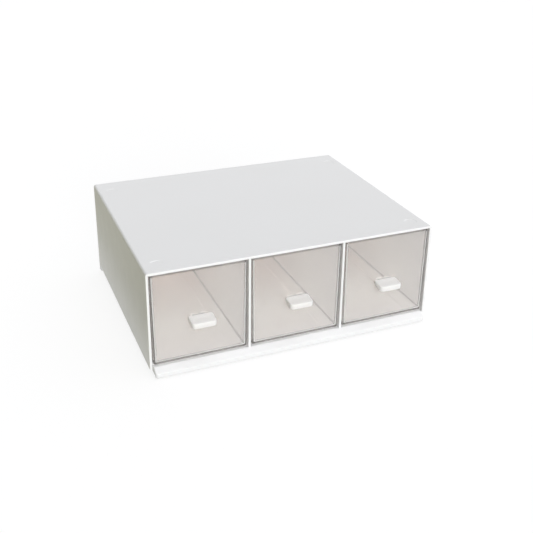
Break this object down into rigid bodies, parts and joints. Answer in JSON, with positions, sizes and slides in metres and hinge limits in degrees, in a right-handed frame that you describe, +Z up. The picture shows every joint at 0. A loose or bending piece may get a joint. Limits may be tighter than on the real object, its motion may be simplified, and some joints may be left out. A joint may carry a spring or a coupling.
{
  "type": "tea bag organizer",
  "caption": "Low white tabletop chest with clear tinted drawers side by side that slide out by small white handles, on a base tray with a front lip.",
  "frame": {"origin": "centre of the overall box, on the surface that the foot pads stand on", "axes": "+X to the right along the row of drawers, +Y towards the back panel, +Z up; the drawers open towards -Y"},
  "size_m": [0.24, 0.1986, 0.0875],
  "materials": {
    "white_abs": "glossy white ABS, injection moulded",
    "clear_styrene": "clear polystyrene with a light warm grey tint, polished",
    "handle_abs": "white ABS, satin gloss",
    "soft_pad": "pale translucent soft pad, matte"
  },
  "bodies": {
    "casing": {"casing_shell": "white_abs", "partition_left": "white_abs", "partition_right": "white_abs", "back_panel": "white_abs", "base_tray": "white_abs", "foot_pad_front_left": "soft_pad", "foot_pad_front_right": "soft_pad", "foot_pad_rear_left": "soft_pad", "foot_pad_rear_right": "soft_pad"},
    "drawer_left": {"drawer_tub_left": "clear_styrene", "drawer_handle_left": "handle_abs"},
    "drawer_middle": {"drawer_tub_middle": "clear_styrene", "drawer_handle_middle": "handle_abs"},
    "drawer_right": {"drawer_tub_right": "clear_styrene", "drawer_handle_right": "handle_abs"}
  },
  "joints": [
    {"name": "drawer_left_slide", "type": "slide", "parent": "casing", "child": "drawer_left", "axis": [0, -1, 0], "range_m": [0, 0.15]},
    {"name": "drawer_middle_slide", "type": "slide", "parent": "casing", "child": "drawer_middle", "axis": [0, -1, 0], "range_m": [0, 0.15]},
    {"name": "drawer_right_slide", "type": "slide", "parent": "casing", "child": "drawer_right", "axis": [0, -1, 0], "range_m": [0, 0.15]}
  ]
}
